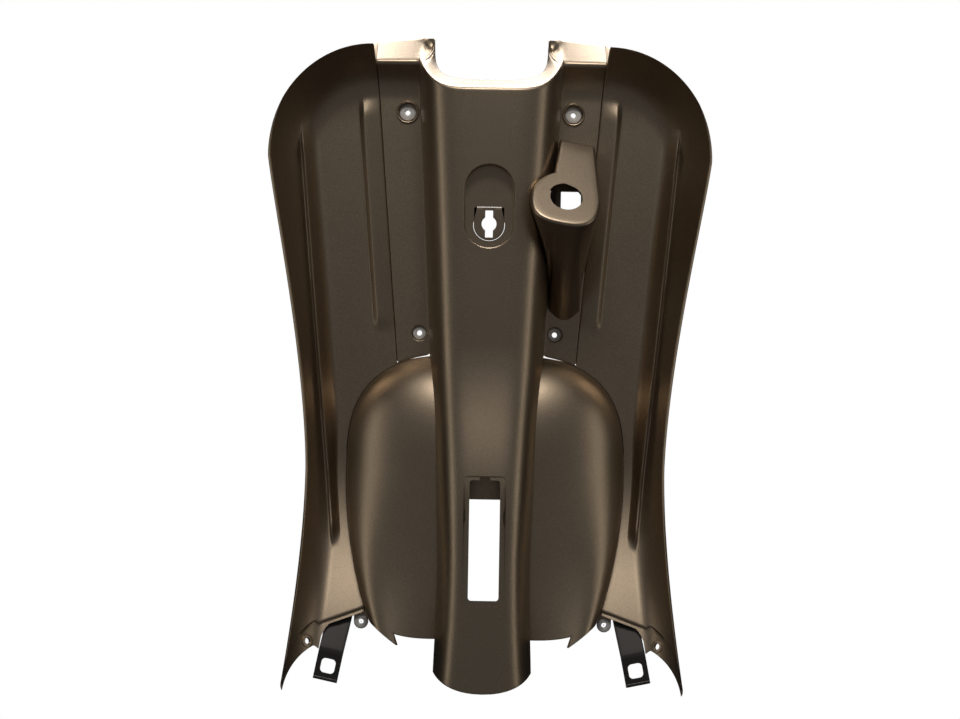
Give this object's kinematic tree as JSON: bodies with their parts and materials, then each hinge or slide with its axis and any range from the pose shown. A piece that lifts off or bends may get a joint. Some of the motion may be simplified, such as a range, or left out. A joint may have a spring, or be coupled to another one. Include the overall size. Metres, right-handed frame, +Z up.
{
  "type": "scooter leg shield",
  "caption": "Rider-side leg shield of a motor scooter with a column cover, side panels, a wheel arch, a lock housing and floor clips.",
  "frame": {"origin": "midway between the two upper fixing screws, on the face that their heads press on", "axes": "+Z up along the steering column, -Y towards the rider, +X to the right as the rider's side is seen"},
  "size_m": [0.4334, 0.115, 0.6331],
  "materials": {
    "bronze_paint": "satin metallic paint",
    "dark_plastic": "smooth moulded",
    "zinc_steel": "zinc plated"
  },
  "bodies": {
    "root": {"wing_left": "bronze_paint", "wing_right": "bronze_paint", "centre_cover": "bronze_paint", "wheel_arch": "bronze_paint", "hook_plate": "bronze_paint", "lock_housing": "bronze_paint", "upper_collar_left": "zinc_steel", "upper_collar_right": "zinc_steel", "lower_collar_left": "zinc_steel", "lower_collar_right": "zinc_steel", "tab_collar_left": "zinc_steel", "tab_collar_right": "zinc_steel", "floor_clip_left": "dark_plastic", "clip_screw_left": "zinc_steel", "floor_clip_right": "dark_plastic", "clip_screw_right": "zinc_steel"}
  },
  "joints": []
}
